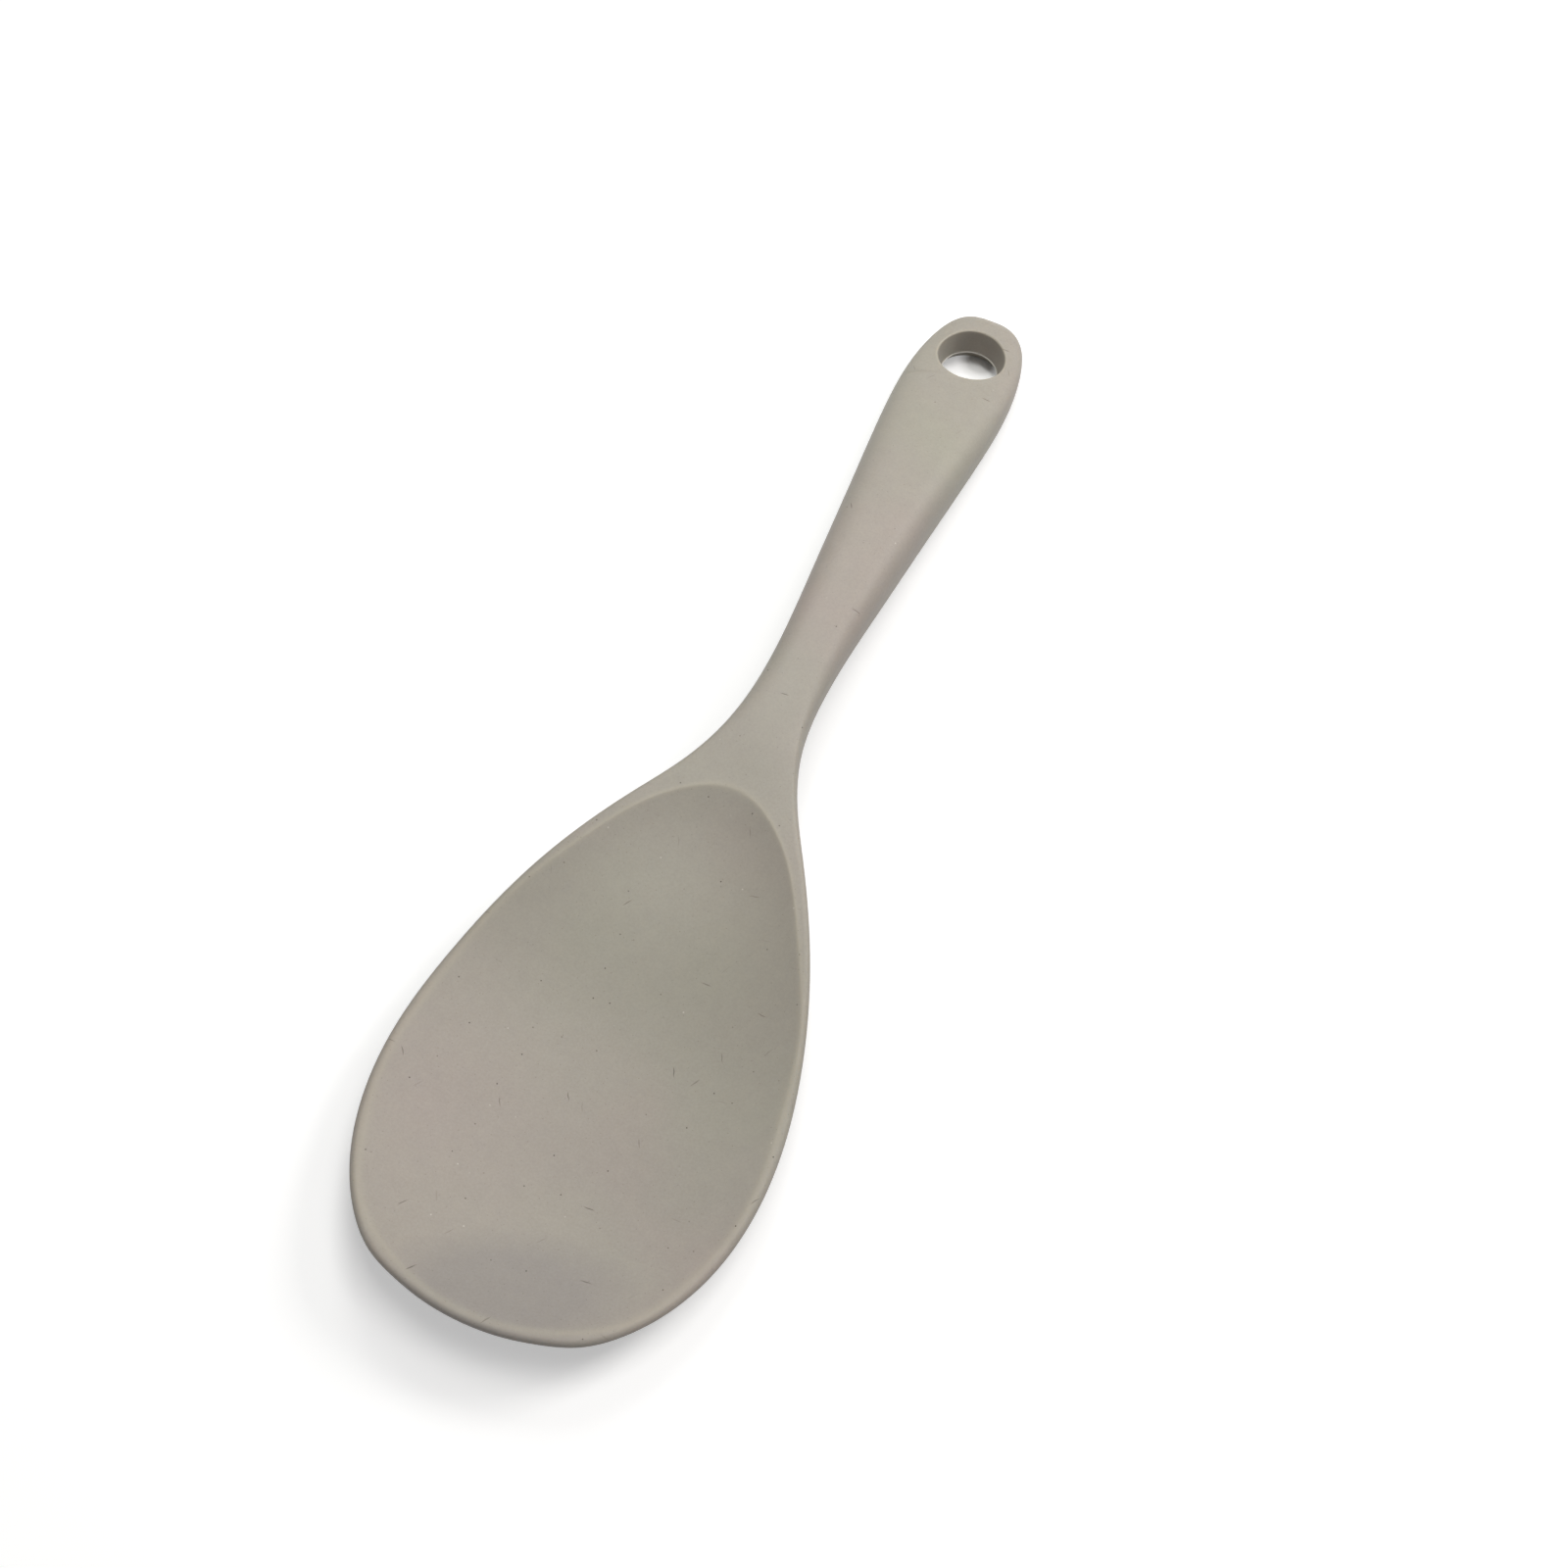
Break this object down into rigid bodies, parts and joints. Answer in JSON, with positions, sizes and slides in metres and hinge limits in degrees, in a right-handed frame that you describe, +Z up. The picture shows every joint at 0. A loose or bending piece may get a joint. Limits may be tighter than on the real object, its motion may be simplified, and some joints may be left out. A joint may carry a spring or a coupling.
{
  "type": "rice paddle",
  "caption": "Silicone rice paddle with a shallow egg-shaped scoop, a slim arched neck, a swelling grip, a rounded end with a hanging hole, and a rigid insert inside the skin.",
  "frame": {"origin": "middle of the length and width, at the level of the table that the paddle lies on", "axes": "+X across the blade, +Y from the blade's tip to the handle's end, +Z up from the table, on the scoop's open side"},
  "size_m": [0.072, 0.2397, 0.0179],
  "materials": {
    "silicone": "matte moulded silicone rubber, warm grey",
    "nylon": "moulded glass-filled nylon"
  },
  "bodies": {
    "root": {"silicone_skin": "silicone", "stiffening_core": "nylon"}
  },
  "joints": []
}
